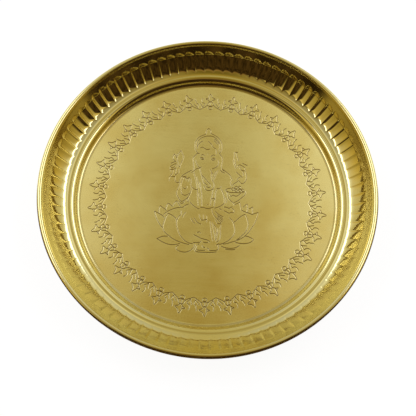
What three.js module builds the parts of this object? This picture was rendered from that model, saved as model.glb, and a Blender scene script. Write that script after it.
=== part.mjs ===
// A thali for worship: a round brass plate with a flat floor, a small step up to a narrow ledge,
// a wall of pressed flutes and a plain collar, and an edge that is rolled over a stiffening wire.
// Millimetres, +Z up. The origin is on the table, under the middle of the floor.
import * as THREE from 'three';

const degrees = THREE.MathUtils.degToRad;

// Overall sizes
const plateDiameter = 250;
const sheet = 0.7;

// The step between the floor and the ledge
const stepHeight = 4.9;
const stepSlope = degrees(60.5);
const stepFootRadius = 4.0;
const stepCrownRadius = 4.4;

// The ledge and the hollow bend that turns it up into the wall
const ledgeWidth = 1.4;
const ledgeSlope = degrees(2);
const coveRadius = 6.0;

// The fluted wall, which steepens on its way up, and the plain collar above it
const wallFootSlope = degrees(43);
const wallTopSlope = degrees(54.5);
const wallWidth = 10.4;
const collarWidth = 1.9;

// The flutes: shallow troughs pressed outward, which meet at sharp ridges. Each one deepens
// slowly from one ridge and rises steeply to the next.
const fluteCount = 96;
const fluteDepth = 0.7;
const fluteDeepest = 0.75;
const fluteToeGrade = 0.13;
const fluteCapGrade = 0.27;
const ridgeAzimuth = degrees(88.9);

// The rolled edge and the wire inside it
const wireDiameter = 2.0;
const wireClearance = 0.3;
const rollFootSlope = degrees(72);
const rollFootRadius = 3.0;
const rollTurn = degrees(290);

// How finely the round shapes are divided
const columnsPerFlute = 4;
const stepFootSteps = 2;
const stepCrownSteps = 2;
const rollTopSteps = 2;
const rollSideSteps = 2;
const rollUnderSteps = 3;
const wireSides = 6;

// The outline of the sheet
//
// The upper face is one chain of lines and arcs, seen in the plane of the radius r and the
// height z. Each leg runs on from the last one with the same slope. A place on it is
// { r, z, slope }, where the slope is 0 on the floor and 90 degrees on an upright wall.

function lineLeg(start, length) {
  const at = (distance) => ({
    r: start.r + distance * Math.cos(start.slope),
    z: start.z + distance * Math.sin(start.slope),
    slope: start.slope,
  });
  return { length, at };
}

function arcLeg(start, endSlope, radius) {
  const turn = Math.sign(endSlope - start.slope);
  const at = (distance) => {
    const slope = start.slope + (turn * distance) / radius;
    return {
      r: start.r + turn * radius * (Math.sin(slope) - Math.sin(start.slope)),
      z: start.z + turn * radius * (Math.cos(start.slope) - Math.cos(slope)),
      slope,
    };
  };
  return { length: Math.abs(endSlope - start.slope) * radius, at };
}

const endOf = (leg) => leg.at(leg.length);

// An arc between two slopes that covers a given width, so its radius follows from the width
function arcLegOfWidth(start, endSlope, width) {
  const radius = width / Math.abs(Math.sin(endSlope) - Math.sin(start.slope));
  return arcLeg(start, endSlope, radius);
}

// The height that an arc gains between two slopes, for each millimetre of its radius
const arcRise = (slopeA, slopeB) => Math.abs(Math.cos(slopeA) - Math.cos(slopeB));

// The two bends of the step shrink together where the step is too low to hold them
const footRise = stepFootRadius * arcRise(0, stepSlope);
const crownRise = stepCrownRadius * arcRise(stepSlope, ledgeSlope);
const stepFit = Math.min(1, stepHeight / (footRise + crownRise));
const stepRiserLength = (stepHeight - stepFit * (footRise + crownRise)) / Math.sin(stepSlope);

const wireRadius = wireDiameter / 2;
const rollRadius = wireRadius + wireClearance + sheet;

function outlineFrom(floorRadius) {
  const floorEdge = { r: floorRadius, z: sheet, slope: 0 };
  const foot = arcLeg(floorEdge, stepSlope, stepFit * stepFootRadius);
  const riser = lineLeg(endOf(foot), stepRiserLength);
  const crown = arcLeg(endOf(riser), ledgeSlope, stepFit * stepCrownRadius);
  const ledge = lineLeg(endOf(crown), ledgeWidth);
  const cove = arcLeg(endOf(ledge), wallFootSlope, coveRadius);
  const wall = arcLegOfWidth(endOf(cove), wallTopSlope, wallWidth);
  const collar = lineLeg(endOf(wall), collarWidth / Math.cos(wallTopSlope));
  const rollFoot = arcLeg(endOf(collar), rollFootSlope, rollFootRadius);
  const rollTop = arcLeg(endOf(rollFoot), 0, rollRadius);
  const rollSide = arcLeg(endOf(rollTop), degrees(-90), rollRadius);
  const rollUnder = arcLeg(endOf(rollSide), rollFootSlope - rollTurn, rollRadius);
  return { foot, riser, crown, ledge, cove, wall, collar, rollFoot, rollTop, rollSide, rollUnder };
}

// The middle of the rolled edge lies one roll radius under its upper face
function rollCentreOf(outline) {
  const start = outline.rollTop.at(0);
  return {
    r: start.r + rollRadius * Math.sin(start.slope),
    z: start.z - rollRadius * Math.cos(start.slope),
  };
}

// The rim is set to the plate's diameter, and the floor takes what the wall leaves
const reachBeyondFloor = rollCentreOf(outlineFrom(0)).r + rollRadius;
const floorRadius = plateDiameter / 2 - reachBeyondFloor;
const outline = outlineFrom(floorRadius);
const rollCentre = rollCentreOf(outline);

// The flutes
//
// They run from the foot of the cove to the top of the wall, where the collar starts.
// Distances along them are counted from the foot of the cove.

const fluteLength = outline.cove.length + outline.wall.length;

function placeOnWall(distance) {
  const { cove, wall } = outline;
  return distance <= cove.length ? cove.at(distance) : wall.at(distance - cove.length);
}

// The trough's depth: two shallow arcs across its width, which meet where it is deepest. It
// runs out slowly at the toe, on the ledge, and quicker at the cap, under the collar. Across
// is 0 at one ridge and 1 at the next.
function troughDepth(across, distance) {
  const arcWidth = across < fluteDeepest ? fluteDeepest : 1 - fluteDeepest;
  const scallop = fluteDepth * (1 - ((across - fluteDeepest) / arcWidth) ** 2);
  const toe = fluteToeGrade * distance;
  const cap = fluteCapGrade * (fluteLength - distance);
  return Math.max(0, Math.min(scallop, toe, cap));
}

// Rows of points are laid where the toe and the cap reach the full depth, and between. The
// two ends of the flutes have no depth, so they are plain rings.
const toeEnd = Math.min(fluteDepth / fluteToeGrade, fluteLength / 2);
const capStart = Math.max(fluteLength - fluteDepth / fluteCapGrade, fluteLength / 2);
const fluteRows = [toeEnd / 2, toeEnd, (toeEnd + capStart) / 2, capStart];

// Rings of points round the plate

// A point of the outline, sunk below the upper face by a depth square to the sheet
function sunk(place, depth) {
  return {
    r: place.r + depth * Math.sin(place.slope),
    z: place.z - depth * Math.cos(place.slope),
  };
}

function ringPoint(point, turn) {
  const azimuth = ridgeAzimuth + turn * 2 * Math.PI;
  return new THREE.Vector3(point.r * Math.cos(azimuth), point.r * Math.sin(azimuth), point.z);
}

function plainRing(place, depth) {
  const point = sunk(place, depth);
  const ring = [];
  for (let i = 0; i < fluteCount; i += 1) {
    ring.push(ringPoint(point, i / fluteCount));
  }
  return ring;
}

function flutedRing(distance, depth) {
  const place = placeOnWall(distance);
  const ring = [];
  for (let i = 0; i < fluteCount * columnsPerFlute; i += 1) {
    const across = (i % columnsPerFlute) / columnsPerFlute;
    const point = sunk(place, depth + troughDepth(across, distance));
    ring.push(ringPoint(point, i / (fluteCount * columnsPerFlute)));
  }
  return ring;
}

function ringsAlong(leg, steps, depth) {
  const rings = [];
  for (let i = 1; i <= steps; i += 1) {
    rings.push(plainRing(leg.at((leg.length * i) / steps), depth));
  }
  return rings;
}

// All rings of one face of the sheet, from the middle of the floor to the end of the roll
function faceRings(depth) {
  return [
    [new THREE.Vector3(0, 0, sheet - depth)],
    plainRing(outline.foot.at(0), depth),
    ...ringsAlong(outline.foot, stepFootSteps, depth),
    plainRing(outline.crown.at(0), depth),
    ...ringsAlong(outline.crown, stepCrownSteps, depth),
    plainRing(outline.cove.at(0), depth),
    ...fluteRows.map((distance) => flutedRing(distance, depth)),
    plainRing(outline.collar.at(0), depth),
    plainRing(outline.rollTop.at(0), depth),
    ...ringsAlong(outline.rollTop, rollTopSteps, depth),
    ...ringsAlong(outline.rollSide, rollSideSteps, depth),
    ...ringsAlong(outline.rollUnder, rollUnderSteps, depth),
  ];
}

// The skin

// The band of triangles between two rings. The ring that lags behind steps on, so a fluted
// ring meets a plain one, and a ring of one point makes a fan.
function band(inner, outer) {
  const triangles = [];
  let i = 0;
  let o = 0;
  const lag = (index, ring) => (ring.length === 1 ? Infinity : (index + 0.5) / ring.length);
  while (lag(i, inner) < 1 || lag(o, outer) < 1) {
    const from = inner[i % inner.length];
    const to = outer[o % outer.length];
    if (lag(o, outer) <= lag(i, inner)) {
      o += 1;
      triangles.push([from, to, outer[o % outer.length]]);
    } else {
      i += 1;
      triangles.push([from, to, inner[i % inner.length]]);
    }
  }
  return triangles;
}

function skinOf(rings) {
  const points = rings.flat();
  const indexOf = new Map(points.map((point, index) => [point, index]));
  const index = [];
  for (let i = 1; i < rings.length; i += 1) {
    for (const triangle of band(rings[i - 1], rings[i])) {
      index.push(...triangle.map((point) => indexOf.get(point)));
    }
  }
  const geometry = new THREE.BufferGeometry().setFromPoints(points);
  geometry.setIndex(index);
  geometry.computeVertexNormals();
  return geometry;
}

// The parts

const brass = new THREE.MeshStandardMaterial({ color: '#c8aa52', roughness: 0.22, metalness: 1 });
const steel = new THREE.MeshStandardMaterial({ color: '#8d8f90', roughness: 0.5, metalness: 0.9 });

// One sheet of brass: the skin goes out along its upper face, over the end of the roll and
// back along its lower face
function makeDish() {
  const upperFace = faceRings(0);
  const lowerFace = faceRings(sheet);
  const geometry = skinOf([...upperFace, ...lowerFace.reverse()]);
  const mesh = new THREE.Mesh(geometry, brass);
  mesh.name = 'dish';
  return mesh;
}

function makeRimWire() {
  const geometry = new THREE.TorusGeometry(rollCentre.r, wireRadius, wireSides, fluteCount);
  const mesh = new THREE.Mesh(geometry, steel);
  mesh.name = 'rim_wire';
  mesh.position.z = rollCentre.z;
  mesh.rotation.z = ridgeAzimuth;
  return mesh;
}

const thali = new THREE.Group();
thali.add(makeDish(), makeRimWire());

export default thali;
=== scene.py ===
# %% [markdown]
# # A brass thali
# The real object is one round sheet of brass with a wire rolled into its edge. Its floor is
# flat and carries a stamped line drawing inside a border. Round the floor come a small step,
# a narrow ledge, a fluted wall, a plain collar and the rolled edge. This lesson loads the
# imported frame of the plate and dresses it: fine geometry, brass, a pale studio and a camera.

import math
from functools import partial

import bpy
import numpy as np
from mathutils import Matrix, Vector, kdtree
from mathutils.geometry import delaunay_2d_cdt


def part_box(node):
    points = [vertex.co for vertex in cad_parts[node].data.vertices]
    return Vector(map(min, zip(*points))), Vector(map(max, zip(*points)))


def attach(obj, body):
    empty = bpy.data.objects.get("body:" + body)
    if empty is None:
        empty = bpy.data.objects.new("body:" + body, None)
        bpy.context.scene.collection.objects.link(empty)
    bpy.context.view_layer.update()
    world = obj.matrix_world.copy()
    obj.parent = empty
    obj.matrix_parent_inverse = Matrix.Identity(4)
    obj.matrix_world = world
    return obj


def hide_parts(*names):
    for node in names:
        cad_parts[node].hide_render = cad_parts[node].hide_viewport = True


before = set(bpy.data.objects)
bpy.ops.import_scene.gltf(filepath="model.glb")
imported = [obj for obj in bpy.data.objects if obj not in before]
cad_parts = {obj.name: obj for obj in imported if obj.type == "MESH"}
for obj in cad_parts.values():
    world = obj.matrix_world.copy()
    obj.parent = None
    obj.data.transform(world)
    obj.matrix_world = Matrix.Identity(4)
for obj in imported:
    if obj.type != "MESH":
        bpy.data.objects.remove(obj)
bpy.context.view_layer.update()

# %% [markdown]
# ## Sizes
# All sizes are millimetres of the real plate, and one factor turns them into Blender's metres.
# The plate's radius is read from the frame, so the dressed plate fills the same space.

# %% Driving sizes
MM = 0.001
plate_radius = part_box("dish")[1].x / MM
sheet = 0.7
step_height = 4.84
step_slope = math.radians(60.5)
step_foot_radius = 4.0
step_crown_radius = 4.4
ledge_width = 0.65
ledge_slope = math.radians(2)
cove_radius = 8.0
wall_foot_slope = math.radians(43.5)
wall_top_slope = math.radians(54.3)
wall_width = 9.5
collar_width = 2.25
roll_foot_slope = math.radians(72)
roll_foot_radius = 3.0
roll_radius = 2.0
roll_turn = math.radians(290)
roll_steps = 18
flute_count = 96
flute_depth = 0.7
ridge_azimuth = math.radians(88.9)
print("plate radius %.3f mm" % plate_radius)

# %% [markdown]
# ## The section of the sheet
# A spinner shapes the sheet over a round former, so its section is the same all the way round:
# one chain of straight stretches and arcs. A pen walks along it and keeps the radius, the
# height and the slope. This way each bend is smooth, because it starts with the slope at
# which the last one ended.

# %% A pen that walks along the section
class Pen:
    """Walks along the upper face from the floor outward and keeps every place it passes."""

    def __init__(self, place):
        self.place = place
        self.places = [place]
        self.length = 0.0

    def keep(self, radius, height, slope, step):
        self.place = (radius, height, slope)
        self.places.append(self.place)
        self.length += step

    def line(self, length, steps=1):
        for _ in range(steps):
            radius, height, slope = self.place
            step = length / steps
            self.keep(radius + step * math.cos(slope), height + step * math.sin(slope), slope, step)

    def arc(self, end_slope, bend_radius, steps):
        radius, height, start = self.place
        turn = math.copysign(1, end_slope - start)
        for i in range(1, steps + 1):
            slope = start + (end_slope - start) * i / steps
            new_radius = radius + turn * bend_radius * (math.sin(slope) - math.sin(start))
            new_height = height + turn * bend_radius * (math.cos(start) - math.cos(slope))
            self.keep(new_radius, new_height, slope, bend_radius * abs(end_slope - start) / steps)

    def arc_of_width(self, end_slope, width, steps):
        start = self.place[2]
        self.arc(end_slope, width / abs(math.sin(end_slope) - math.sin(start)), steps)


def step_to_ledge(pen):
    pen.arc(step_slope, step_foot_radius, 8)
    foot_rise = step_foot_radius * (1 - math.cos(step_slope))
    crown_rise = step_crown_radius * (math.cos(ledge_slope) - math.cos(step_slope))
    pen.line((step_height - foot_rise - crown_rise) / math.sin(step_slope), 2)
    pen.arc(ledge_slope, step_crown_radius, 8)
    pen.line(ledge_width, 2)


# the top of the wall, where the caps are, has finer steps
cap_band = math.radians(2.8)


def cove_and_wall(pen):
    pen.arc(wall_foot_slope, cove_radius, 7)
    fine_slope = wall_top_slope - cap_band
    top_width = wall_width * (math.sin(wall_top_slope) - math.sin(fine_slope)) / (
        math.sin(wall_top_slope) - math.sin(wall_foot_slope))
    pen.arc_of_width(fine_slope, wall_width - top_width, 11)
    pen.arc_of_width(wall_top_slope, top_width, 9)


def collar_and_roll(pen, roll_steps):
    pen.line(0.1)
    pen.line(collar_width / math.cos(wall_top_slope) - 0.1, 2)
    pen.arc(roll_foot_slope, roll_foot_radius, 3)
    pen.arc(roll_foot_slope - roll_turn, roll_radius, roll_steps)


# %% Place the section so that the rolled edge meets the plate's radius
def walk(floor_radius, roll_steps=roll_steps):
    step = Pen((floor_radius, sheet, 0.0))
    step_to_ledge(step)
    wall = Pen(step.place)
    cove_and_wall(wall)
    rim = Pen(wall.place)
    collar_and_roll(rim, roll_steps)
    return step, wall, rim


# a roll in half degrees, whose widest place is as good as exact
fine_roll_steps = 580
reach = max(radius for radius, _, _ in walk(0.0, fine_roll_steps)[2].places)
floor_radius = plate_radius - reach
step_pen, wall_pen, rim_pen = walk(floor_radius)
print("floor radius %.2f, wall length %.2f, height %.2f mm" % (
    floor_radius, wall_pen.length, max(height for _, height, _ in rim_pen.places)))

# %% [markdown]
# ## The flutes
# Each flute is a shallow trough that a ribbed tool presses outward. Side by side they leave
# sharp ridges standing between them. A trough runs out slowly at its toe, on the bend above
# the ledge. Its cap, under the collar, has an arched edge and rises in a gentle lip. A sculpted
# trough for each flute would be slow to change, so the depth is one formula of the place across
# the trough and the distance along it. Pressing is never quite even: here the troughs are
# crispest on the far side, and slow waves shift and deepen them a little round the plate.

# %% How deep a trough is
# lengths along the trough are millimetres, and a grade is millimetres of depth to each of them
toe_start = 3.2
toe_grade = 0.2
cap_grade = 0.27
lip_grade = 0.165
lip_width = 1.5
cap_arch = 2.6
deepest = 0.77


def smaller(a, b, blend):
    """The smaller of two depths, with the crease between them rounded over the blend."""
    share = np.clip(0.5 + 0.5 * (b - a) / blend, 0, 1)
    return b + (a - b) * share - blend * share * (1 - share)


def crispness(turn):
    """1 on the far side, where the troughs are pressed deepest, and 0 on the near half."""
    far = np.clip((np.cos(turn - math.radians(8)) + 0.05) / 0.65, 0, 1)
    return far**2 * (3 - 2 * far)


def pressure(turn):
    """The share of the full depth that the troughs reach, least at the two sides."""
    uneven = 0.04 * np.sin(7 * turn + 1.0) + 0.03 * np.sin(17 * turn + 0.4)
    return 0.42 + 0.6 * crispness(turn) - 0.14 * np.exp(-(np.cos(turn) / 0.4) ** 2) + uneven


def trough(across, turn, distance, length):
    """The depth and how much of it belongs to the cap. across runs from 0 to 1 between two
    ridges, turn goes round the plate, and distance runs from the foot of the cove."""
    to_ridge = np.where(across < deepest, deepest, 1 - deepest)
    off_middle = ((across - deepest) / to_ridge) ** 2
    scallop = flute_depth * (1 - off_middle)
    left = length - distance - cap_arch * pressure(turn) ** 2 * off_middle
    cap = np.maximum(lip_grade * left, cap_grade * (left - lip_width) + lip_grade * lip_width)
    body = smaller(scallop, toe_grade * max(distance - toe_start, 0), 0.25)
    depth = np.maximum(smaller(body, cap, 0.06), 0) * pressure(turn)
    return depth, np.clip((body - cap) / 0.1, 0, 1) * np.clip(cap / 0.05 + 1, 0, 1)


def dullness(turn):
    """How dull the caps stay, most of all where the troughs are shallow."""
    return 1.1 - pressure(turn)


def uneven_azimuth(turn):
    """How far the ridges stray from their even places."""
    return math.radians(0.22) * np.sin(5 * turn + 0.7) + math.radians(0.14) * np.sin(13 * turn)


# %% [markdown]
# ## Rings and bands
# The skin of the sheet is a stack of rings, from the edge of the floor out along the upper
# face, round the end of the roll and back along the lower face. Plain rings have fewer points
# than fluted ones, and a band of triangles joins any two. In a fluted ring the points crowd
# towards the ridges, because that is where the surface turns.

# %% Rings of points
plain_points = 4 * flute_count
turns_plain = np.arange(plain_points) / plain_points * 2 * math.pi
upper_columns = np.array([0.0, 0.1, 0.3, 0.54, 0.73, 0.84, 0.91, 0.97])
lower_columns = np.array([0.0, 0.3, 0.6, 0.8, 0.92])


def places_across(columns):
    """For every point of a fluted ring: where it is across its trough, and its turn."""
    across = np.tile(columns, flute_count)
    return across, (np.repeat(np.arange(flute_count), len(columns)) + across) * 2 * math.pi / flute_count


across_fluted, turns_fluted = places_across(upper_columns)


def ring_at(place, turns, depth):
    """A ring of the section's place, sunk square to the sheet by the depth."""
    radius, height, slope = place
    azimuth = ridge_azimuth + turns + uneven_azimuth(turns)
    out = radius + depth * math.sin(slope)
    up = height - depth * math.cos(slope) + 0 * turns
    return np.stack([out * np.cos(azimuth), out * np.sin(azimuth), up], axis=1)


def plain_ring(place, depth, turns=turns_plain):
    return ring_at(place, turns, depth + 0 * turns)


def fluted_ring(place, distance, length, depth, columns):
    across, turns = places_across(columns)
    return ring_at(place, turns, depth + trough(across, turns, distance, length)[0])


def distances_along(places):
    """How far each place after the first lies from it, along the section."""
    return np.cumsum([math.dist(a[:2], b[:2]) for a, b in zip(places, places[1:])])


def face_rings(depth, roll_steps, columns, every):
    """All rings of one face of the sheet, from the edge of the floor to the end of the roll.
    Every is how many points and places of the section go to one that is used."""
    step, wall, rim = walk(floor_radius, roll_steps)
    turns = turns_plain[::every]
    rings = [plain_ring(place, depth, turns) for place in step.places[::every]]
    distances = distances_along(wall.places)
    for place, distance in list(zip(wall.places[1:-1], distances))[::every]:
        rings.append(fluted_ring(place, distance, distances[-1], depth, columns))
    rings += [plain_ring(place, depth, turns) for place in rim.places]
    return rings


def cap_marks():
    """For the rings of the upper face from the foot of the cove on: how dull each point is."""
    distances = distances_along(wall_pen.places)
    return [trough(across_fluted, turns_fluted, distance, distances[-1])[1] * dullness(turns_fluted)
            for distance in distances[:-1]]


# %% Bands of triangles between rings
def band(inner, outer):
    """Triangles between two rings of vertex numbers. The ring that lags behind steps on."""
    triangles = []
    i = o = 0
    while i < len(inner) or o < len(outer):
        a = inner[i % len(inner)]
        b = outer[o % len(outer)]
        if (o + 0.5) / len(outer) <= (i + 0.5) / len(inner):
            o += 1
            triangles.append((a, b, outer[o % len(outer)]))
        else:
            i += 1
            triangles.append((a, b, inner[i % len(inner)]))
    return triangles


# %% [markdown]
# ## The stamped drawing
# The floor carries a drawing in thin stamped grooves: a border of spearheads and swags, and a
# traditional seated figure on a lotus. A stamped line is a real dent in the sheet, and it
# shows because its sides mirror other parts of the room than the flat floor does. So the
# lines are cut into the mesh, and not painted. Each line is a smooth curve through a few
# listed points. The figure's points are millimetres from the middle of the
# floor, to the right and up.

# %% Smooth curves through a few points
line_step = 0.52


def smooth_curve(points):
    """Points every line_step along a smooth curve that passes through the given ones."""
    p = np.array(points, float)
    p = np.vstack([2 * p[0] - p[1], p, 2 * p[-1] - p[-2]])
    pieces = []
    for a, b, c, d in zip(p, p[1:], p[2:], p[3:]):
        steps = max(2, int(np.linalg.norm(c - b) / (line_step / 4)))
        t = np.linspace(0, 1, steps, endpoint=False)[:, None]
        pieces.append(0.5 * (2 * b + (c - a) * t + (2 * a - 5 * b + 4 * c - d) * t**2
                             + (3 * b - a - 3 * c + d) * t**3))
    dense = np.vstack(pieces + [p[-2:-1]])
    run = np.r_[0, np.cumsum(np.linalg.norm(np.diff(dense, axis=0), axis=1))]
    stops = np.linspace(0, run[-1], max(2, round(run[-1] / line_step) + 1))
    return np.stack([np.interp(stops, run, dense[:, 0]), np.interp(stops, run, dense[:, 1])], 1)


# %% The border's unit, as degrees to the right of its axis and millimetres from the middle
border_units = 30
border_lines = [
    [(-1.1, 84.3), (-1.0, 85.6), (-0.9, 87.2), (-0.5, 89.0), (-0.1, 90.1), (0.4, 88.9), (0.9, 87.2),
     (1.9, 86.3), (2.7, 85.6), (1.9, 84.9), (0.9, 84.4), (0.6, 83.4)],
    [(-1.0, 86.4), (-1.8, 86.0), (-2.6, 85.6), (-1.8, 85.0), (-1.1, 84.3), (-0.6, 83.4), (0.3, 82.9)],
    [(0.3, 83.4), (1.3, 82.1), (1.8, 80.4), (2.7, 78.9), (4.2, 77.7), (6.0, 76.4)],
    [(-0.3, 82.9), (-1.2, 82.2), (-1.7, 80.4), (-2.7, 78.8), (-4.3, 77.7), (-6.0, 76.4)],
    [(-0.1, 82.4), (-0.1, 80.6), (0.0, 79.5)],
    [(-1.8, 79.9), (-0.9, 79.4), (0.0, 79.6), (0.9, 79.4), (1.7, 79.9)],
    [(0.0, 79.0), (0.9, 78.6), (1.1, 77.6), (0.7, 76.7), (0.0, 76.4), (-0.7, 76.7), (-1.1, 77.6),
     (-0.9, 78.6), (0.0, 79.0)],
    [(4.0, 86.2), (3.9, 84.9), (4.3, 83.4), (4.4, 82.3), (5.3, 81.4), (5.2, 79.9), (4.7, 78.4),
     (4.6, 77.6)],
    [(2.8, 81.8), (3.5, 80.5), (4.2, 79.4), (4.7, 78.4)],
    [(-4.1, 86.2), (-4.5, 84.9), (-4.5, 83.4), (-4.1, 82.3), (-3.1, 81.6), (-3.4, 80.2), (-4.2, 78.9),
     (-4.5, 77.8)],
    [(-5.5, 82.0), (-5.1, 80.6), (-4.7, 79.4), (-4.5, 78.4)],
]


def border_strokes():
    strokes = []
    for unit in range(border_units):
        axis = math.pi / 2 - unit * 2 * math.pi / border_units
        for line in border_lines:
            spots = [(r * math.cos(axis - math.radians(a)), r * math.sin(axis - math.radians(a)))
                     for a, r in line]
            strokes.append(smooth_curve(spots))
    return strokes


# %% The crown and the head
crown_lines = [
    [(-8.8, 38.9), (-10.4, 41.3), (-11.0, 44.5), (-10.6, 48.0), (-8.4, 51.6), (-6.0, 53.3), (-3.9, 54.3),
     (-2.6, 55.3), (-2.5, 57.2), (-1.9, 58.8), (-0.7, 59.7), (0.5, 58.7), (1.1, 57.2), (0.9, 55.9),
     (3.4, 54.4), (6.7, 52.3), (8.7, 49.4), (9.9, 46.2), (9.9, 43.0), (9.0, 40.2), (7.9, 38.8)],
    [(-9.4, 44.0), (-9.0, 47.3), (-7.6, 50.0), (-5.4, 51.9), (-2.8, 53.0), (0.0, 53.3), (2.4, 53.1),
     (4.6, 51.9), (6.7, 49.6), (7.9, 47.0), (8.1, 44.0), (7.3, 40.6)],
    [(-8.9, 42.4), (-9.0, 44.0), (-8.1, 46.0), (-6.7, 47.7), (-4.9, 49.0)],
    [(3.6, 49.6), (5.0, 48.2), (6.5, 46.4)],
    [(3.9, 51.0), (5.6, 49.6), (7.2, 47.2)],
    [(-0.8, 48.8), (0.7, 47.5), (2.0, 45.9), (2.7, 44.3), (4.1, 43.2), (5.3, 42.2), (5.6, 40.0),
     (5.9, 38.4)],
    [(-6.6, 43.2), (-4.9, 43.6), (-3.0, 42.3), (-1.0, 41.8), (0.8, 42.4)],
]
face_lines = [
    [(-5.9, 36.6), (-4.9, 37.5), (-4.1, 37.1), (-3.5, 36.2)],
    [(1.5, 35.7), (2.6, 36.9), (3.7, 37.4), (4.6, 36.8)],
    [(-6.5, 34.8), (-5.5, 35.0), (-4.4, 34.6), (-3.6, 33.6), (-4.8, 33.2), (-6.0, 33.7), (-6.5, 34.8)],
    [(2.1, 33.6), (2.9, 34.7), (4.0, 34.8), (5.1, 33.8), (3.9, 33.0), (2.8, 33.0), (2.1, 33.6)],
    [(-5.2, 34.1), (-4.8, 33.9)],
    [(3.5, 34.1), (3.9, 33.9)],
    [(-0.9, 38.2), (-0.7, 37.7)],
    [(-11.7, 35.1), (-10.4, 36.6), (-9.0, 38.1), (-7.2, 38.3)],
    [(-11.7, 35.1), (-12.0, 32.6), (-11.6, 29.6), (-11.3, 26.6), (-11.2, 24.4)],
    [(-10.2, 32.4), (-9.2, 29.6), (-8.0, 27.4), (-6.6, 26.1)],
    [(7.9, 38.8), (9.2, 37.1), (10.3, 35.2), (10.5, 32.6), (10.1, 30.0), (9.9, 27.4), (10.6, 25.4),
     (12.0, 24.0)],
    [(7.4, 33.0), (7.6, 30.6), (7.0, 28.4), (5.8, 27.2), (4.2, 26.2), (2.6, 25.5)],
    [(-6.2, 26.9), (-5.8, 26.6)],
]
# %% The trunk and the body
trunk_lines = [
    [(-6.7, 25.6), (-5.9, 22.6), (-5.0, 19.6), (-4.3, 16.6), (-3.2, 13.4)],
    [(-4.6, 19.8), (-2.3, 17.3), (-0.2, 14.8), (1.6, 12.6), (2.0, 11.0), (0.8, 10.1), (-0.7, 10.5),
     (-1.5, 11.4)],
    [(-2.7, 14.0), (-1.6, 12.8), (-0.4, 12.0)],
    [(1.4, 25.0), (2.5, 22.6), (2.3, 19.6), (3.0, 16.6), (4.3, 14.0), (4.6, 11.8), (3.9, 9.6), (2.2, 8.0),
     (0.0, 7.7), (-1.7, 8.4), (-2.5, 9.8), (-3.2, 11.4)],
    [(2.2, 23.4), (3.3, 21.6)],
    [(7.3, 24.6), (6.2, 21.8), (5.1, 19.0), (4.2, 16.6)],
    [(5.6, 23.6), (4.6, 21.2), (3.5, 18.8)],
]
body_lines = [
    [(-12.6, 24.2), (-14.6, 22.9), (-17.0, 21.4), (-19.2, 19.8), (-20.8, 17.4), (-21.8, 14.8),
     (-21.6, 11.8), (-22.5, 9.0), (-23.4, 6.2), (-23.4, 3.6), (-22.0, 0.8), (-19.9, -1.8), (-17.9, -1.0),
     (-15.8, 0.6), (-14.0, 3.0), (-12.7, 6.4)],
    [(-13.0, 21.9), (-11.2, 23.6), (-9.4, 25.1), (-7.4, 25.8), (-5.6, 26.7)],
    [(10.9, 25.5), (13.0, 23.9), (15.0, 22.3), (16.7, 20.5), (17.6, 18.4), (18.6, 16.6)],
    [(8.9, 25.0), (10.4, 23.5), (12.4, 22.5)],
    [(17.3, 16.4), (17.1, 14.4), (17.7, 12.4)],
    [(-11.8, 10.0), (-10.6, 8.8), (-9.2, 8.2), (-7.8, 8.6)],
    [(6.6, 9.6), (7.9, 9.4), (9.3, 10.2), (10.1, 11.6)],
    [(-11.1, 22.4), (-10.2, 18.8), (-9.2, 15.2), (-8.4, 11.4), (-7.9, 7.6), (-7.7, 3.6), (-7.5, 0.0),
     (-6.9, -4.6)],
    [(-8.9, 18.8), (-8.0, 15.8), (-7.0, 12.8), (-6.4, 9.8)],
    [(-6.0, 14.2), (-5.6, 11.0), (-5.3, 8.2), (-4.7, 5.2), (-4.5, 1.6), (-4.4, -2.0), (-4.2, -5.0)],
    [(-6.9, 5.4), (-6.2, 2.6), (-5.6, 1.2)],
    [(3.9, 8.6), (3.6, 5.4), (3.1, 2.4), (2.5, -0.6), (2.3, -4.4)],
    [(6.7, 8.6), (5.9, 6.0), (5.8, 2.8), (5.5, -0.6), (5.1, -4.6)],
    [(3.2, 1.2), (4.6, 1.6), (5.3, 0.6), (4.4, -0.2)],
    [(10.2, 9.2), (11.4, 6.2), (12.4, 3.4), (12.8, 0.4), (12.7, -1.8)],
    [(-12.4, 8.0), (-13.4, 4.6), (-14.6, 1.6), (-15.4, -0.8), (-14.6, -1.7), (-13.6, 0.2)],
    [(-13.2, -2.2), (-11.5, -4.1), (-9.6, -5.6), (-7.8, -6.8), (-6.0, -7.6)],
    [(5.3, -6.6), (7.6, -5.7), (9.8, -4.6), (11.6, -3.3), (12.6, -2.2)],
    [(-5.4, -6.1), (-3.4, -6.1), (-1.4, -6.7), (1.0, -6.9), (3.2, -6.2), (5.0, -5.4)],
    [(-0.2, -3.7), (0.2, -4.1)],
]
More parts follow.
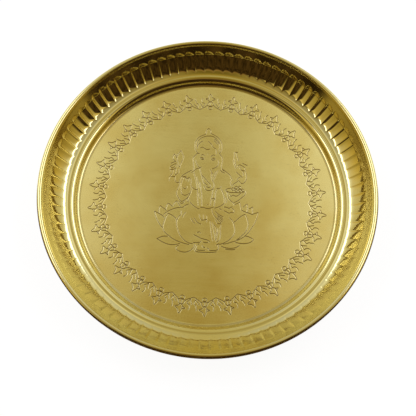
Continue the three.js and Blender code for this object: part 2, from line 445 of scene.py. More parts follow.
# %% The hand in front, and what the other hands hold
left_hand_lines = [
    [(-19.8, 4.3), (-17.7, 3.2), (-15.6, 3.7), (-14.0, 4.9)],
    [(-19.8, 4.6), (-20.4, 7.4), (-20.6, 10.4), (-20.2, 13.6), (-19.4, 16.4), (-18.3, 18.4), (-17.0, 17.6),
     (-15.8, 17.0), (-14.6, 17.9), (-13.4, 16.6), (-12.8, 14.4), (-13.3, 12.4), (-12.6, 10.4),
     (-12.6, 8.2)],
    [(-17.2, 17.4), (-16.8, 15.4)],
    [(-15.2, 17.2), (-14.6, 15.2)],
    [(-15.6, 15.0), (-15.2, 14.6)],
    [(-18.9, 9.6), (-17.6, 8.4), (-16.2, 9.2), (-15.8, 10.6)],
    [(-19.6, 18.8), (-18.0, 18.0), (-16.6, 19.2)],
]
lotus_bud_lines = [
    [(-21.5, 40.4), (-22.8, 38.2), (-23.6, 36.4), (-24.5, 34.6), (-24.2, 32.4), (-23.6, 30.2),
     (-22.9, 28.2), (-22.2, 26.6)],
    [(-21.5, 40.4), (-20.6, 37.8), (-19.5, 35.6), (-19.7, 33.4), (-20.4, 31.4), (-21.1, 29.4),
     (-21.7, 27.4), (-21.9, 25.6)],
    [(-26.4, 37.2), (-25.3, 35.0), (-24.4, 33.8)],
    [(-26.4, 37.2), (-27.4, 35.2), (-27.2, 32.8), (-25.8, 31.2)],
    [(-24.3, 37.2), (-24.9, 36.0)],
    [(-29.0, 29.0), (-27.2, 30.0), (-25.0, 31.0)],
    [(-28.8, 22.2), (-29.3, 24.2), (-29.4, 26.0), (-28.2, 27.2), (-26.6, 28.2), (-25.2, 28.9),
     (-24.4, 27.8), (-24.0, 26.2)],
    [(-29.0, 24.2), (-27.6, 24.0), (-26.2, 24.5), (-25.2, 25.4)],
    [(-28.6, 25.7), (-27.2, 25.4), (-25.8, 26.6)],
    [(-27.2, 23.4), (-27.4, 21.2), (-28.2, 19.4)],
    [(-25.0, 25.2), (-25.0, 22.4), (-25.4, 19.8), (-24.2, 20.4), (-22.9, 21.8), (-22.7, 24.4)],
    [(-28.6, 20.4), (-28.3, 18.6), (-26.6, 18.1), (-25.2, 18.5)],
    [(-28.8, 18.8), (-29.8, 17.0), (-29.4, 14.6)],
    [(-25.3, 18.3), (-25.4, 16.2), (-24.6, 14.2), (-23.2, 13.2), (-21.8, 14.2)],
]
goad_lines = [
    [(20.4, 40.2), (22.3, 40.3)],
    [(19.6, 40.2), (19.8, 37.4), (19.2, 34.4), (19.0, 32.4), (19.6, 30.2), (20.2, 28.2), (21.0, 26.6)],
    [(21.2, 39.4), (21.6, 37.0), (22.3, 34.8), (23.0, 33.2)],
    [(20.6, 34.4), (20.4, 31.6), (21.2, 29.0)],
    [(22.2, 27.2), (22.6, 29.2), (23.8, 29.8), (25.6, 29.0), (27.4, 27.7), (28.1, 26.2), (27.6, 24.9),
     (26.0, 25.2), (24.8, 25.9), (24.0, 27.6)],
    [(26.0, 31.2), (28.0, 30.2), (29.6, 29.4)],
    [(26.2, 24.2), (27.0, 22.6), (26.8, 20.8)],
    [(21.4, 23.8), (23.0, 22.1), (24.5, 20.7), (25.9, 19.4)],
    [(28.3, 24.6), (29.0, 21.4), (29.0, 18.4), (28.0, 15.8), (26.4, 14.2)],
    [(24.4, 19.8), (23.0, 18.8), (22.2, 17.4)],
    [(23.4, 16.4), (24.8, 14.8), (26.4, 14.2)],
]
sweets_bowl_lines = [
    [(18.3, 11.6), (19.2, 13.4), (20.5, 14.6), (21.9, 15.5), (22.9, 16.6)],
    [(13.4, 8.6), (15.0, 9.8), (17.4, 10.2)],
    [(17.6, 9.4), (18.8, 10.6), (20.0, 9.6), (18.8, 8.4), (17.6, 9.4)],
    [(20.0, 10.6), (21.2, 12.0), (22.6, 11.0), (21.6, 9.8), (20.0, 10.6)],
    [(22.8, 11.2), (24.0, 12.2), (25.2, 11.0), (24.2, 9.9), (22.8, 11.2)],
    [(20.2, 8.4), (21.4, 9.4), (22.6, 8.2), (21.4, 7.2), (20.2, 8.4)],
    [(22.8, 8.8), (24.0, 9.7), (25.2, 8.6), (24.2, 7.6), (22.8, 8.8)],
    [(25.3, 9.4), (26.5, 9.9), (27.3, 8.6), (26.2, 7.8), (25.3, 9.4)],
    [(14.2, 7.6), (16.4, 6.8), (19.0, 6.7), (22.0, 6.8), (25.0, 6.7), (27.8, 7.6)],
    [(16.6, 5.0), (17.6, 3.6), (19.4, 4.6), (21.4, 3.8), (23.6, 5.0), (24.8, 6.2)],
    [(28.9, 8.2), (28.4, 5.8), (27.0, 3.9), (25.2, 2.2), (23.6, 0.8), (21.8, -0.5), (20.1, -1.4)],
    [(24.6, -0.7), (22.9, -1.8), (21.0, -2.8)],
    [(13.4, 8.2), (14.8, 6.6), (15.0, 4.2), (15.8, 1.8), (17.4, 0.0), (19.2, -1.4), (20.2, -3.4)],
    [(13.6, 2.4), (14.4, 0.6), (14.2, -1.6)],
]
# %% The legs and the lotus seat
leg_lines = [
    [(-20.0, -6.8), (-18.2, -6.4), (-16.6, -5.0), (-14.2, -3.8)],
    [(-32.6, -13.0), (-30.0, -10.5), (-26.6, -8.6), (-23.4, -7.3), (-20.0, -6.8)],
    [(-19.6, -9.4), (-19.5, -12.2), (-20.9, -13.8), (-22.0, -15.8), (-22.7, -18.2), (-22.4, -21.6),
     (-21.3, -25.4), (-19.9, -28.6), (-18.0, -31.0), (-15.6, -33.3), (-12.8, -34.7), (-10.2, -35.3)],
    [(-16.2, -10.4), (-17.5, -12.4), (-18.4, -14.4)],
    [(-9.8, -14.8), (-8.4, -16.8), (-6.6, -18.6), (-4.4, -19.6)],
    [(-12.2, -15.2), (-10.6, -17.6), (-9.2, -19.0)],
    [(-5.8, -11.8), (-5.7, -13.6), (-4.9, -15.2), (-3.9, -16.4), (-2.2, -16.1), (-0.2, -15.8)],
    [(-2.8, -12.0), (-2.6, -14.2), (-2.2, -16.0)],
    [(-0.4, -12.6), (-0.2, -14.8), (-0.2, -17.6)],
    [(12.6, -5.3), (14.6, -5.5), (16.4, -6.3), (17.2, -5.4), (18.8, -4.9)],
    [(12.4, -8.2), (14.4, -9.1), (16.4, -10.1), (18.2, -9.2), (19.6, -9.8), (20.2, -7.8), (18.8, -6.2)],
    [(9.0, -6.4), (10.6, -7.6)],
    [(3.4, -7.6), (4.2, -10.6), (5.8, -13.2), (8.2, -15.9), (10.6, -18.4)],
    [(6.0, -9.0), (8.0, -10.9), (10.2, -12.3), (12.0, -13.2)],
    [(7.4, -11.7), (9.2, -13.0), (11.6, -14.6)],
    [(8.0, -13.2), (9.9, -14.7), (11.9, -16.0)],
    [(7.6, -14.0), (9.4, -15.7), (11.3, -17.3)],
    [(6.2, -15.6), (7.4, -17.8), (8.0, -18.8), (10.2, -18.8)],
    [(2.4, -17.0), (2.8, -20.6), (3.3, -24.6), (4.0, -29.0), (4.8, -32.4)],
    [(4.0, -18.0), (4.8, -21.8), (5.6, -25.8), (6.3, -29.4), (6.9, -32.0)],
    [(5.2, -19.6), (6.8, -22.2), (7.4, -25.2), (6.9, -28.6)],
    [(8.4, -22.4), (8.3, -25.8), (7.7, -29.0), (7.0, -32.2)],
    [(10.6, -19.8), (10.1, -23.0), (10.3, -26.4), (10.0, -29.6), (9.2, -32.0), (7.6, -33.6)],
    [(-9.6, -28.0), (-6.8, -29.4), (-4.2, -30.7), (-1.4, -31.5), (1.0, -32.2), (2.6, -33.6)],
    [(-9.8, -34.3), (-7.2, -34.1), (-5.0, -34.0), (-3.9, -32.9)],
    [(-2.4, -33.7), (-0.6, -34.1), (1.2, -33.8)],
    [(-6.4, -35.5), (-5.2, -35.3)],
    [(-3.0, -36.2), (-2.2, -37.6), (-1.0, -38.0)],
    [(-7.0, -26.2), (-5.4, -25.8), (-4.6, -26.6)],
]
lotus_lines = [
    [(-29.3, -11.8), (-30.6, -14.2), (-31.6, -17.2), (-32.4, -20.2), (-32.8, -22.8), (-32.1, -25.4),
     (-30.6, -27.4), (-28.4, -29.2), (-25.6, -31.4), (-22.4, -33.1), (-18.6, -34.5), (-15.2, -35.5),
     (-12.8, -35.9)],
    [(-29.3, -11.8), (-27.2, -12.7), (-25.0, -14.1), (-23.5, -15.6), (-22.7, -17.4)],
    [(-39.7, -10.4), (-37.4, -11.5), (-35.0, -12.8), (-33.2, -14.0), (-32.0, -15.4)],
    [(-39.7, -10.4), (-38.6, -14.0), (-37.2, -17.4), (-35.4, -20.4), (-33.4, -23.2)],
    [(-36.3, -11.6), (-36.3, -9.0), (-35.4, -6.1), (-33.5, -7.3), (-31.8, -8.6), (-30.6, -9.9)],
    [(-31.4, -9.0), (-30.8, -6.4), (-29.6, -3.8), (-27.8, -4.9), (-26.2, -6.2)],
    [(-26.0, -5.2), (-24.7, -3.1), (-23.2, -1.6), (-22.2, -3.2), (-21.0, -5.0), (-19.8, -6.6)],
    [(-21.6, -1.6), (-20.0, -3.4), (-18.4, -3.0), (-17.4, -1.6)],
    [(28.6, -10.7), (26.8, -11.3), (25.2, -12.6), (23.4, -14.1), (21.8, -15.9), (20.4, -17.0)],
    [(28.6, -10.7), (29.9, -14.0), (30.7, -17.0), (30.8, -19.8), (30.0, -22.6), (28.6, -25.2),
     (26.6, -27.3), (24.6, -29.4), (22.4, -31.0)],
    [(16.8, -13.8), (18.4, -15.3), (19.6, -17.4), (20.4, -20.0), (20.9, -22.8), (20.7, -25.6),
     (19.6, -28.2), (17.9, -30.3), (15.8, -32.2), (13.0, -33.8), (10.0, -35.0)],
    [(38.4, -8.8), (36.0, -9.5), (33.8, -10.4), (31.4, -9.6), (29.0, -8.8), (27.2, -8.1), (25.6, -7.2)],
    [(38.4, -8.8), (37.4, -13.0), (35.6, -17.6), (33.4, -21.4), (31.2, -24.8), (28.8, -27.6), (25.8, -29.9),
     (22.4, -31.6), (18.8, -32.9), (15.2, -34.2), (12.4, -34.8)],
    [(24.2, -1.0), (24.9, -3.6), (25.3, -5.8), (25.8, -7.4)],
    [(27.0, -5.0), (28.3, -3.5), (29.7, -2.3), (30.3, -4.4), (30.3, -7.0), (30.0, -9.0)],
    [(31.4, -6.0), (32.9, -5.3), (34.0, -4.5), (34.1, -7.0), (34.2, -9.8)],
    [(21.6, -33.1), (24.4, -33.7), (27.8, -33.8), (31.0, -33.3), (33.4, -32.2), (34.8, -30.4),
     (32.8, -29.1), (30.8, -28.2), (29.2, -27.9)],
    [(11.0, -36.4), (13.6, -37.4), (17.0, -37.9), (20.2, -37.6), (22.6, -36.8), (24.6, -35.4)],
    [(14.2, -38.6), (17.8, -39.0), (21.4, -38.6)],
    [(-36.8, -32.2), (-34.4, -31.0), (-31.8, -30.1), (-28.8, -30.0)],
    [(-36.8, -32.2), (-34.4, -33.5), (-31.6, -35.0), (-28.6, -36.1), (-25.4, -36.5), (-22.4, -36.1),
     (-19.6, -35.5)],
    [(-20.4, -36.9), (-21.9, -37.7), (-22.3, -39.4), (-20.4, -41.0), (-17.4, -41.9), (-14.4, -41.8),
     (-12.0, -40.7), (-10.2, -39.1), (-8.8, -37.2), (-8.6, -35.6)],
    [(-7.2, -36.6), (-7.6, -38.6), (-6.4, -40.0), (-3.8, -40.2), (-0.8, -40.0)],
    [(0.6, -38.2), (1.6, -38.6), (2.2, -39.9), (4.8, -40.1), (7.2, -39.8), (8.8, -38.8), (9.1, -37.0),
     (8.6, -35.2)],
    [(-8.8, -39.0), (-7.6, -41.2), (-4.0, -41.6), (0.0, -41.6), (4.0, -41.5), (7.6, -41.0)],
    [(7.4, -35.8), (8.8, -34.8), (10.0, -35.0)],
]
# %% All lines together
figure_lines = (crown_lines + face_lines + trunk_lines + body_lines + left_hand_lines + lotus_bud_lines
                + goad_lines + sweets_bowl_lines + leg_lines + lotus_lines)
border = border_strokes()
figure = [smooth_curve(line) for line in figure_lines]
print("lines: %d in the border, %d in the figure" % (len(border), len(figure)))

# %% [markdown]
# ## The floor's mesh
# A groove needs points on its bottom, on its two sides and where it meets the flat. They are
# laid beside every line, points that fall almost on each other are dropped, and a net of
# triangles joins them with a few points of the flat floor and its rim. A boolean cut with a
# tube along each line would take far longer. The height of a point follows from how far it lies
# from the nearest line. Its normal follows from the same formula, so the flat between the
# grooves stays a true mirror.

# %% The groove and the points beside it
groove_half_width = 0.5
groove_depth = 0.1
groove_offsets = (0.0, 0.25, -0.25, 0.52, -0.52)
guard_offset = 0.85
least_gap = 0.18


def points_beside(strokes):
    """Points on the middle of each line first, then on its sides and shoulders, then round
    its two ends, and last a sparse row of guards out on the flat."""
    rows = {offset: [] for offset in groove_offsets}
    ends, guards = [], []
    for stroke in strokes:
        along = np.gradient(stroke, axis=0)
        along /= np.linalg.norm(along, axis=1)[:, None] + 1e-9
        side = np.stack([-along[:, 1], along[:, 0]], axis=1)
        for offset in groove_offsets:
            rows[offset].append(stroke + offset * side)
        for tip, out, aside in ((stroke[0], -along[0], side[0]), (stroke[-1], along[-1], side[-1])):
            ends += [tip + 0.25 * out, tip + 0.52 * out]
            ends += [tip + 0.36 * (out + aside), tip + 0.36 * (out - aside)]
            guards.append(tip + guard_offset * out)
        guards += list((stroke + guard_offset * side)[::3]) + list((stroke - guard_offset * side)[::3])
    return np.vstack([np.vstack(rows[offset]) for offset in groove_offsets] + [ends, guards])


def thin_out(points, gap):
    """Keeps each point that has no kept one nearer than the gap, by a grid of cells."""
    kept = []
    cells = {}
    for x, y in points.tolist():
        i, j = int(x // gap), int(y // gap)
        near = [q for a in (i - 1, i, i + 1) for b in (j - 1, j, j + 1) for q in cells.get((a, b), ())]
        if all((x - u) ** 2 + (y - v) ** 2 > gap * gap for u, v in near):
            kept.append((x, y))
            cells.setdefault((i, j), []).append((x, y))
    return np.array(kept)


def flat_points(grooved):
    """A coarse net of points for the flat floor, clear of the grooves."""
    spacing = 4.0
    clearance = 1.5
    axis = np.arange(-floor_radius, floor_radius, spacing)
    x, y = np.meshgrid(axis, axis)
    x[::2] += spacing / 2
    net = np.stack([x.ravel(), y.ravel()], axis=1)
    net = net[np.hypot(net[:, 0], net[:, 1]) < floor_radius - clearance]
    tree = kdtree.KDTree(len(grooved))
    for i, (px, py) in enumerate(grooved):
        tree.insert((px, py, 0), i)
    tree.balance()
    return np.array([q for q in net if tree.find((q[0], q[1], 0))[2] > clearance])


strokes = border + figure
grooved = thin_out(points_beside(strokes), least_gap)
rim_ring = plain_ring(step_pen.places[0], 0)[:, :2]
floor_points = np.vstack([rim_ring, grooved, flat_points(grooved)])
print("floor points:", len(floor_points), "of which beside lines:", len(grooved))


# %% Heights and normals from the distance to the nearest line
def nearest_line_points(points):
    spots = np.vstack([np.vstack([stroke, (stroke[1:] + stroke[:-1]) / 2]) for stroke in strokes])
    quarters = [(3 * s[1:] + s[:-1]) / 4 for s in strokes] + [(s[1:] + 3 * s[:-1]) / 4 for s in strokes]
    spots = np.vstack([spots] + quarters)
    tree = kdtree.KDTree(len(spots))
    for i, (x, y) in enumerate(spots):
        tree.insert((x, y, 0), i)
    tree.balance()
    found = [tree.find((x, y, 0)) for x, y in points]
    return np.array([f[0][:2] for f in found]), np.array([f[2] for f in found])


def groove_height(distance):
    u = np.clip(distance / groove_half_width, 0, 1)
    return -groove_depth * (1 - u**2) ** 2


def groove_steepness(distance):
    u = np.clip(distance / groove_half_width, 0, 1)
    return groove_depth * 4 * u * (1 - u**2) / groove_half_width


nearest, distance = nearest_line_points(floor_points)
floor_heights = sheet + groove_height(distance)
away = (floor_points - nearest) / np.maximum(distance, 1e-6)[:, None]
tilt = groove_steepness(distance)[:, None] * away
floor_normals = np.hstack([-tilt, np.ones((len(tilt), 1))])
floor_normals /= np.linalg.norm(floor_normals, axis=1)[:, None]

# %% [markdown]
# ## One closed sheet
# The net of the floor, the rings of both faces and a plain net for the bottom are joined into
# one closed mesh, because the real plate is one sheet. A Solidify modifier could give the sheet
# its thickness, but it would also copy the drawing to the underside. There only the flutes show,
# so the lower face has rings of its own, with fewer points.

# %% Join floor, wall and underside
lower_roll_steps = 12
count = len(rim_ring)
edges = [(i, (i + 1) % count) for i in range(count)]
net_points, _, net_faces, origin, _, _ = delaunay_2d_cdt(
    [Vector(point) for point in floor_points], edges, [], 1, 1e-6)
assert len(net_points) == len(floor_points), (len(net_points), len(floor_points))
order = [sources[0] for sources in origin]
floor_faces = [tuple(order[i] for i in face) for face in net_faces]
points = [np.column_stack([floor_points, floor_heights])]
total = len(floor_points)
rings = [list(range(count))]


def add_ring(ring):
    global total
    rings.append(list(range(total, total + len(ring))))
    points.append(ring)
    total += len(ring)


for ring in face_rings(0, roll_steps, upper_columns, 1)[1:]:
    add_ring(ring)
for ring in face_rings(sheet, lower_roll_steps, lower_columns, 2)[::-1]:
    add_ring(ring)
underside_radii = np.linspace(floor_radius, 0, 6)[1:-1]
for radius in underside_radii:
    add_ring(plain_ring((radius, 0, 0), 0, turns_plain[::2]))
points.append(np.array([[0, 0, 0.0]]))
skin_faces = [face for inner, outer in zip(rings, rings[1:]) for face in band(inner, outer)]
skin_faces += [(a, total, b) for a, b in zip(rings[-1], rings[-1][1:] + rings[-1][:1])]
points = np.vstack(points)
print("points:", len(points), "triangles:", len(floor_faces) + len(skin_faces))


# %% Make the object
def new_mesh_object(name, verts, faces):
    mesh = bpy.data.meshes.new(name)
    mesh.from_pydata((verts * MM).tolist(), [], faces)
    mesh.validate()
    mesh.shade_smooth()
    piece = bpy.data.objects.new(name, mesh)
    bpy.context.scene.collection.objects.link(piece)
    return piece


plate = new_mesh_object("fluted_brass_plate", points, floor_faces + skin_faces)
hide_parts("dish")
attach(plate, "root")
print("made", plate.name, "with", len(plate.data.polygons), "triangles")

# %% Give the drawing the normals of its formula
normals = np.empty(len(points) * 3, np.float32)
plate.data.vertex_normals.foreach_get("vector", normals)
normals = normals.reshape(-1, 3)
inside = np.arange(len(floor_points)) >= count
normals[:len(floor_points)][inside] = floor_normals[inside]
normals[:count] = (0, 0, 1)
plate.data.normals_split_custom_set_from_vertices(normals.tolist())
print("steepest side of a groove: %.1f degrees" % math.degrees(math.acos(floor_normals[:, 2].min())))

# %% [markdown]
# ## Marks of use, and painted shade
# A buffing wheel reaches neither the stamped lines nor the corner of the step, so old dark
# polish stays there, and a thin brown film stays on the roll. In the corner of the step the brown
# is also painted shade: it darkens the corner and dims the bright line that its bend mirrors.
# The wheel also skips the caps and the collar, which stay duller where they are shallow. Both
# marks could be painted on an image.
# Here they are numbers on the mesh's own points, so they follow the shape when a size changes.

# %% Tarnish, painted corner shade and dull places, as numbers on the points
# tarnish and painted shade on the first rings of the step, darkest in its corner, where it dims the bright line
# of the bend
step_corner_tarnish_and_shade = (0, 0.44, 0.5, 0.5, 0.44, 0.4, 0.3, 0, 0)
roll_tarnish = 0.33
collar_dullness = 0.5
collar_rings = 6


def mark_points(name, values):
    mark = plate.data.attributes.new(name, "FLOAT", "POINT")
    mark.data.foreach_set("value", values)
    print("mark %s: on %d points" % (name, np.count_nonzero(values)))


tarnish_and_shade = np.zeros(len(points))
tarnish_and_shade[:len(distance)] = -groove_height(distance) / groove_depth
for ring, share in zip(rings, step_corner_tarnish_and_shade):
    tarnish_and_shade[ring] = share
wall_start = len(step_pen.places)
roll_start = wall_start + len(wall_pen.places) + len(rim_pen.places) - 2 - (roll_steps + 1)
for ring in rings[roll_start:roll_start + roll_steps + 1]:
    tarnish_and_shade[ring] = roll_tarnish
mark_points("tarnish_and_corner_shade", tarnish_and_shade)

dull = np.zeros(len(points))
for ring, share in zip(rings[wall_start:], cap_marks()):
    dull[ring] = share
for ring in rings[roll_start - collar_rings:roll_start]:
    dull[ring] = collar_dullness * dullness(turns_plain)
mark_points("dull", dull)

# %% [markdown]
# ## Colours and nodes
# Colours are written as sRGB hex values, and one function turns them to linear, which is what
# Blender's shaders reckon in. Another adds a node with its settings and its links, so that a
# material reads as a short list of what it is made of.

# %% Helpers for materials
def linear(hex_colour):
    parts = [int(hex_colour[i:i + 2], 16) / 255 for i in (1, 3, 5)]
    return tuple(c / 12.92 if c <= 0.04045 else ((c + 0.055) / 1.055) ** 2.4 for c in parts) + (1,)


def add_node(tree, kind, *inputs, **settings):
    """Adds a shader node. Inputs fill its sockets in order. A setting names a socket, with _ for
    a space, or a choice of the node. A value is a number, a hex colour, a socket or a node."""
    node = tree.nodes.new("ShaderNode" + kind)
    named = []
    for name, value in settings.items():
        socket = node.inputs.get(name.replace("_", " "))
        if socket is None:
            setattr(node, name, value)
        else:
            named.append((socket, value))
    in_order = zip([socket for socket in node.inputs if socket.enabled], inputs)
    for socket, value in [*in_order, *named]:
        if isinstance(value, bpy.types.Node):
            value = next(output for output in value.outputs if output.enabled)
        if isinstance(value, bpy.types.NodeSocket):
            tree.links.new(value, socket)
        else:
            socket.default_value = linear(value) if isinstance(value, str) else value
    return node


def new_material(name):
    material = bpy.data.materials.new(name)
    material.use_nodes = True
    material.node_tree.nodes.clear()
    return material, partial(add_node, material.node_tree)


def per_metre(size):
    """The scale of a noise whose patches are about this size in millimetres."""
    return 1 / (size * MM)


def wave_scale(spacing):
    """The scale of a wave texture whose lines are this far apart in millimetres."""
    return math.pi / 10 / (spacing * MM)


# %% [markdown]
# ## Brass
# The sheet is common yellow brass, spun and pressed cold. A plain metal shader would look like
# new paint, so the brass is built up from what happens to it: clouds of light tarnish, specks
# that the polish missed, wipe marks, and the faint rings that the lathe leaves. All of them are
# procedural, so they need no image and stay sharp from near by.

# %% One recipe for the whole sheet
brass_colour = "#efe39c"
warm_brass_colour = "#e6d486"
# brown for tarnish, and for the painted shade in the corner of the step
tarnish_and_shade_colour = "#735620"
cloud_size = 31.25
speck_size = 1.111
wipe_length = 25.0
wipe_width = 2.0
# real turning lines are finer, but these need to show
turning_spacing = 0.4488


def brass(name, roughness, cloud_amount, line_depth):
    """Cloudy brass, with dark tarnish left in the grooves and on the roll, tarnish and painted shade in the
    corner of the step, and turning lines line_depth mm deep.
    """
    material, add = new_material(name)
    where = add("TexCoord").outputs["Object"]
    cloud = add("TexNoise", Vector=where, Scale=per_metre(cloud_size), Detail=3.0)
    clouded = add("MapRange", cloud, 0.4, 0.68, 0.0, cloud_amount)
    colour = add("Mix", clouded, brass_colour, warm_brass_colour, data_type="RGBA")
    speck = add("TexNoise", Vector=where, Scale=per_metre(speck_size), Detail=2.0)
    specked = add("MapRange", speck, 0.62, 0.75, 0.0, 0.2)
    colour = add("Mix", specked, colour, tarnish_and_shade_colour, data_type="RGBA")
    # brown from the mark: tarnish in the grooves and on the roll, painted shade with tarnish in the step's
    # corner
    tarnish_and_corner_shade = add("Attribute", attribute_name="tarnish_and_corner_shade").outputs["Fac"]
    tarnish_and_shade_share = add("MapRange", tarnish_and_corner_shade, 0.3, 0.8, 0.0, 0.9)
    colour = add("Mix", tarnish_and_shade_share, colour, tarnish_and_shade_colour, data_type="RGBA")
    # the wipe marks lie askew, as a hand leaves them
    stretch = (per_metre(wipe_length), per_metre(wipe_width), per_metre(wipe_length))
    wipe = add("TexNoise", Vector=add("Mapping", Vector=where, Scale=stretch, Rotation=(0, 0, 0.6)),
               Scale=1.0, Detail=2.0)
    wiped = add("MapRange", wipe, 0.35, 0.7, roughness * 0.93, roughness * 1.12)
    dull = add("Attribute", attribute_name="dull").outputs["Fac"]
    rough = add("Mix", dull, wiped, 0.33)
    turning = add("TexWave", Vector=where, wave_type="RINGS", rings_direction="Z",
                  Scale=wave_scale(turning_spacing), Distortion=3.0)
    bump = add("Bump", Strength=1.0, Distance=line_depth * MM, Height=turning.outputs["Fac"])
    shader = add("BsdfPrincipled", Metallic=1.0, Base_Color=colour, Roughness=rough, Normal=bump)
    add("OutputMaterial", shader)
    return material


# %% Polished wall, satin floor
# buffed to a mirror: the wall and the rim show the room sharply, as bright and dark bands
plate.data.materials.append(brass("polished_spun_brass", 0.08, 0.3, 0.0002))
# rubbed with fine abrasive: the floor and the foot of the step mirror the room only as a soft glow
plate.data.materials.append(brass("satin_stamped_brass", 0.16, 1.0, 0.0012))
step_bands = 8
satin_faces = len(floor_faces) + 2 * count * step_bands
slots = np.zeros(len(plate.data.polygons), np.int32)
slots[:satin_faces] = 1
plate.data.polygons.foreach_set("material_index", slots)
print("satin faces: %d of %d" % (satin_faces, len(slots)))


# %% [markdown]
# ## The wire
# A round steel wire lies in the rolled edge. It shows only through the roll's open seam, so the
# frame's own wire is fine enough, and it just gets a better material.

# %% The wire
rust_size = 4.0
# real die marks are finer, but these need to show
die_mark_spacing = 0.143


# drawn through a die and never polished: grey, long fine marks, a bloom of light rust
def drawn_steel(name):
    material, add = new_material(name)
    where = add("TexCoord").outputs["Object"]
    rust = add("TexNoise", Vector=where, Scale=per_metre(rust_size), Detail=4.0)
    rusted = add("MapRange", rust, 0.55, 0.72, 0.0, 0.7)
    colour = add("Mix", rusted, "#8d8f90", "#6d4a30", data_type="RGBA")
    die = add("TexWave", Vector=where, bands_direction="Z", Scale=wave_scale(die_mark_spacing), Distortion=2.0)
    bump = add("Bump", Strength=0.6, Distance=0.004 * MM, Height=die.outputs["Fac"])
    shader = add("BsdfPrincipled", Metallic=0.9, Base_Color=colour,
                 Roughness=add("MapRange", rust, 0.4, 0.7, 0.35, 0.65), Normal=bump)
    add("OutputMaterial", shader)
    return material


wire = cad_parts["rim_wire"]
wire.data.materials.clear()
wire.data.materials.append(drawn_steel("drawn_steel_wire"))
print("wire:", wire.name, "in", wire.data.materials[0].name)

# %% [markdown]
# ## The studio
# Polished metal shows hardly any light of its own: what the eye sees is the room in it. So most
# of this studio is there to be mirrored. The plate stands on white card, in a pale tent that is
# open at the front, with a soft box on each side.


# %% Floor
def make_floor():
    half = 3.0  # metres, so that its edge is out of sight
    mesh = bpy.data.meshes.new("studio_floor")
    corners = [(-half, -half, 0), (half, -half, 0), (half, half, 0), (-half, half, 0)]
    mesh.from_pydata(corners, [], [(0, 1, 2, 3)])
    floor = bpy.data.objects.new("studio_floor", mesh)
    bpy.context.scene.collection.objects.link(floor)
    floor.location.z = -0.2 * MM
    # uncoated card: no shine, so it shows nothing but the plate's soft shadow
    material, add = new_material("matt_white_card")
    rays = add("LightPath")
    seen = add("Math", rays.outputs["Is Camera Ray"], rays.outputs["Is Glossy Ray"], operation="MAXIMUM")
    # the card glows for the eye and in the metal, and a share of it takes the shadow
    glow_share = add("Math", seen, 0.85, operation="MULTIPLY")
    paper = add("BsdfDiffuse", "#f3f3f3")
    add("OutputMaterial", add("MixShader", glow_share, paper, add("Emission", Strength=1.1)))
    floor.data.materials.append(material)
    return floor


studio_floor = make_floor()
print("floor: %.1f mm below the plate" % (-studio_floor.location.z / MM))

# %% [markdown]
# ## The room
# The room is a world that depends on the direction only. x is to the right, y to the back and z
# up, each from -1 to 1, and every brightness is a smooth formula of them. A tent of real cloth
# could be built as a mesh, but then each of its folds would have to be lit, and the formula is
# easier to match to the light in a photograph.

# %% The tent's brightness
smooth = {"interpolation_type": "SMOOTHSTEP"}


def tent_strength(add, lean, y, z):
    # the tent's back is even, and its sides brighten upward and towards the back
    backward = add("Math", add("Math", y, 0.1, operation="ADD"), 0.0, operation="MAXIMUM")
    backward = add("Math", backward, 0.35, operation="MINIMUM")
    upward = add("Math", add("Math", z, 0.65, operation="MINIMUM"), 0.7, operation="MULTIPLY")
    sides = add("Math", add("Math", backward, 0.85, 0.24, operation="MULTIPLY_ADD"), upward, operation="ADD")
    beside = add("MapRange", lean, 0.15, 0.6, 0.0, 1.0, **smooth)
    gain = add("Math", sides, 0.54, operation="SUBTRACT")
    around = add("Math", gain, beside, 0.54, operation="MULTIPLY_ADD")

    # overhead it is dim in the middle, where the camera stands
    over = add("Math", add("MapRange", lean, 0.02, 0.16, 0.0, 0.48, **smooth),
               add("MapRange", y, -0.1, 0.4, 0.3, 1.0, **smooth), operation="MULTIPLY")
    over = add("Math", over, add("MapRange", lean, 0.16, 0.4, 1.0, 0.5, **smooth), operation="MULTIPLY")
    above = add("Math", over, add("Math", y, 0.5, 0.235, operation="MULTIPLY_ADD"), operation="ADD")

    high = add("MapRange", z, 0.7, 0.88, 0.0, 1.0, **smooth)
    low = add("Math", 1.0, high, operation="SUBTRACT")
    around = add("Math", around, low, operation="MULTIPLY")
    return add("Math", around, add("Math", above, high, operation="MULTIPLY"), operation="ADD")


# %% The tent's cloth
def tent_cloth(add, lean, y, z):
    # yellow overhead, cream at the back, whiter up the sides, and browner low down in front
    behind = add("MapRange", y, 0.2, 0.42, 0.0, 1.0, **smooth)
    cloth = add("Mix", behind, "#ffdd6c", "#fff0bd", data_type="RGBA")
    white = add("Math", add("MapRange", z, 0.0, 0.5, 0.0, 1.0, **smooth),
                add("MapRange", y, -0.2, 0.3, 0.2, 1.0, **smooth), operation="MULTIPLY")
    white = add("Math", add("MapRange", lean, 0.0, 0.25, 0.0, 1.0, **smooth), white, operation="MULTIPLY")
    cloth = add("Mix", white, cloth, "#fffeff", data_type="RGBA")
    brown = add("Math", add("MapRange", z, 0.02, 0.25, 1.0, 0.0, **smooth),
                add("MapRange", y, 0.0, 0.3, 1.0, 0.0, **smooth), operation="MULTIPLY")
    return add("Mix", brown, cloth, "#ffdb78", data_type="RGBA")


# %% The open front
def tent_share(add, x, y):
    # 0 in the open front, whose edge lies further forward at the left than at the right
    to_left = add("Math", add("Math", x, -1.0, operation="MULTIPLY"), 0.0, operation="MAXIMUM")
    to_right = add("Math", x, 0.0, operation="MAXIMUM")
    ahead = add("Math", y, 0.2, operation="ADD")
    for side, most in ((to_left, 0.27), (to_right, 0.16)):
        reach = add("Math", add("Math", side, 0.7, operation="MULTIPLY"), most, operation="MINIMUM")
        ahead = add("Math", ahead, reach, operation="ADD")
    return add("MapRange", ahead, -0.06, 0.08, 0.0, 1.0, **smooth)


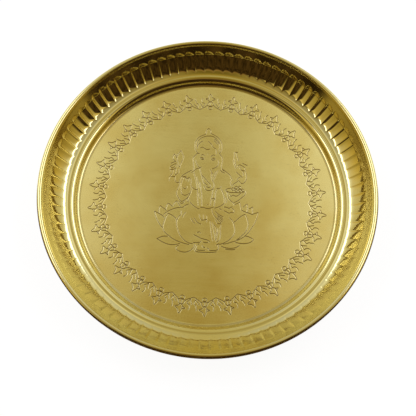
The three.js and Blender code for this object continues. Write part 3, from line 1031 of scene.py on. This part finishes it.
# %% The dim room behind the camera
def dim_room(add, way, z):
    # a little clutter low down, and a pale ceiling
    clutter = add("TexNoise", Vector=way, Scale=7.0, Detail=2.0)
    ceiling = add("MapRange", z, 0.78, 1.05, 0.0, 0.32, **smooth)
    clutter = add("MapRange", clutter, 0.35, 0.65, 0.02, 0.065, **smooth)
    strength = add("Math", clutter, ceiling, operation="ADD")
    return add("Background", add("Mix", ceiling, "#ffc578", "#ffe99b", data_type="RGBA"), strength)


# %% Put the room together
def make_room():
    world = bpy.data.worlds.new("pale_room")
    bpy.context.scene.world = world
    world.use_nodes = True
    world.node_tree.nodes.clear()
    add = partial(add_node, world.node_tree)
    way = add("TexCoord").outputs["Generated"]
    x, y, z = add("SeparateXYZ", way).outputs
    lean = add("Math", x, operation="ABSOLUTE")
    tent = add("Background", tent_cloth(add, lean, y, z), tent_strength(add, lean, y, z))
    room = add("MixShader", tent_share(add, x, y), dim_room(add, way, z), tent)
    # the camera itself sees plain white behind the plate
    white = add("Background", "#ffffff", 1.0)
    add("OutputWorld", add("MixShader", add("LightPath").outputs["Is Camera Ray"], room, white))
    print("room:", world.name, "with", len(world.node_tree.nodes), "nodes")


make_room()

# %% [markdown]
# ## Flag and soft boxes
# A dark flag lies round the front half of the plate, as a photographer lays one to give the
# near edge a dark line. Only reflections see it, and it glows a dim brown of its own instead of
# taking light, so that dark line is a painted reflection. The two soft boxes draw the bright lines
# in the bends at the left and the right. They are strong enough to bring those lines close to white.

# %% A dark flag in front
# a glowing sheet, seen only in reflections: the near edge mirrors its almost black brown, a painted reflection
def make_flag():
    sweep = [math.radians(a) for a in range(176, 369, 4)]
    # metres, from just outside the rim to well out of the reflections
    inner, outer = 0.127, 1.5
    verts = [(radius * math.cos(a), radius * math.sin(a), 0.5 * MM) for a in sweep for radius in (inner, outer)]
    faces = [(2 * i, 2 * i + 1, 2 * i + 3, 2 * i + 2) for i in range(len(sweep) - 1)]
    mesh = bpy.data.meshes.new("dark_flag")
    mesh.from_pydata(verts, [], faces)
    flag = bpy.data.objects.new("dark_flag", mesh)
    bpy.context.scene.collection.objects.link(flag)
    material, add = new_material("painted_dark_reflection")
    # painted reflection: the flag glows a dim brown, and no lamp lights it
    add("OutputMaterial", add("Emission", "#452f10", 1.0))
    flag.data.materials.append(material)
    flag.visible_camera = False
    flag.visible_diffuse = False
    flag.visible_shadow = False
    print("flag:", len(faces), "faces")


make_flag()


# %% Soft boxes at the sides
soft_box_brightness = 2.0


def make_soft_box(name, side):
    light = bpy.data.lights.new(name, "AREA")
    light.shape = "RECTANGLE"
    light.size = 0.8
    light.size_y = 0.26
    # a lamp's watts are its brightness times its area times pi
    light.energy = soft_box_brightness * light.size * light.size_y * math.pi
    light.color = (0.97, 1.0, 1.35)
    box = bpy.data.objects.new(name, light)
    bpy.context.scene.collection.objects.link(box)
    away = Vector((side * 0.57, 0.33, 0.76)).normalized()
    along = (Vector((0, 1, 0)) - away.y * away).normalized()
    across = away.cross(along)
    box.matrix_world = Matrix.Translation(away) @ Matrix((along, across, away)).transposed().to_4x4()
    print(name, "gives %.2f W" % light.energy)


make_soft_box("soft_box_left", -1)
make_soft_box("soft_box_right", 1)


# %% [markdown]
# ## The camera
# The lens, the distance and the tilt follow from the plate's outline in the photograph: a round
# rim looks like an ellipse, and how flat it is gives the tilt. The camera is moved and turned to
# fit, and the plate stays where the frame has it.

# %% Camera
# the focal length and the width of the picture, in pixels of the photograph
focal_pixels = 889
picture_pixels = 416


def make_camera():
    rim_height = 21.5 * MM
    distance = 647 * MM
    elevation = math.radians(69.16)
    roll = math.radians(3.94)
    turn = math.radians(-2.13)
    target = Vector((0.725 * MM, -14.35 * MM, rim_height))
    back = Vector((0, -math.cos(elevation), math.sin(elevation)))
    right = Vector((1, 0, 0))
    up = back.cross(right)
    right, up = (right * math.cos(roll) + up * math.sin(roll), up * math.cos(roll) - right * math.sin(roll))
    place = target + distance * back

    def turned(v):
        along = v.x * math.cos(turn) - v.y * math.sin(turn)
        ahead = v.x * math.sin(turn) + v.y * math.cos(turn)
        return Vector((along, ahead, v.z))

    place, right, up, back = turned(place), turned(right), turned(up), turned(back)
    data = bpy.data.cameras.new("camera")
    data.sensor_width = 36
    data.lens = data.sensor_width * focal_pixels / picture_pixels
    camera = bpy.data.objects.new("camera", data)
    bpy.context.scene.collection.objects.link(camera)
    turn_matrix = Matrix((right, up, back)).transposed().to_4x4()
    camera.matrix_world = Matrix.Translation(place) @ turn_matrix
    bpy.context.scene.camera = camera
    print("camera: lens %.1f mm, %.0f mm away" % (data.lens, distance / MM))


make_camera()
bpy.context.scene.view_settings.view_transform = "Standard"
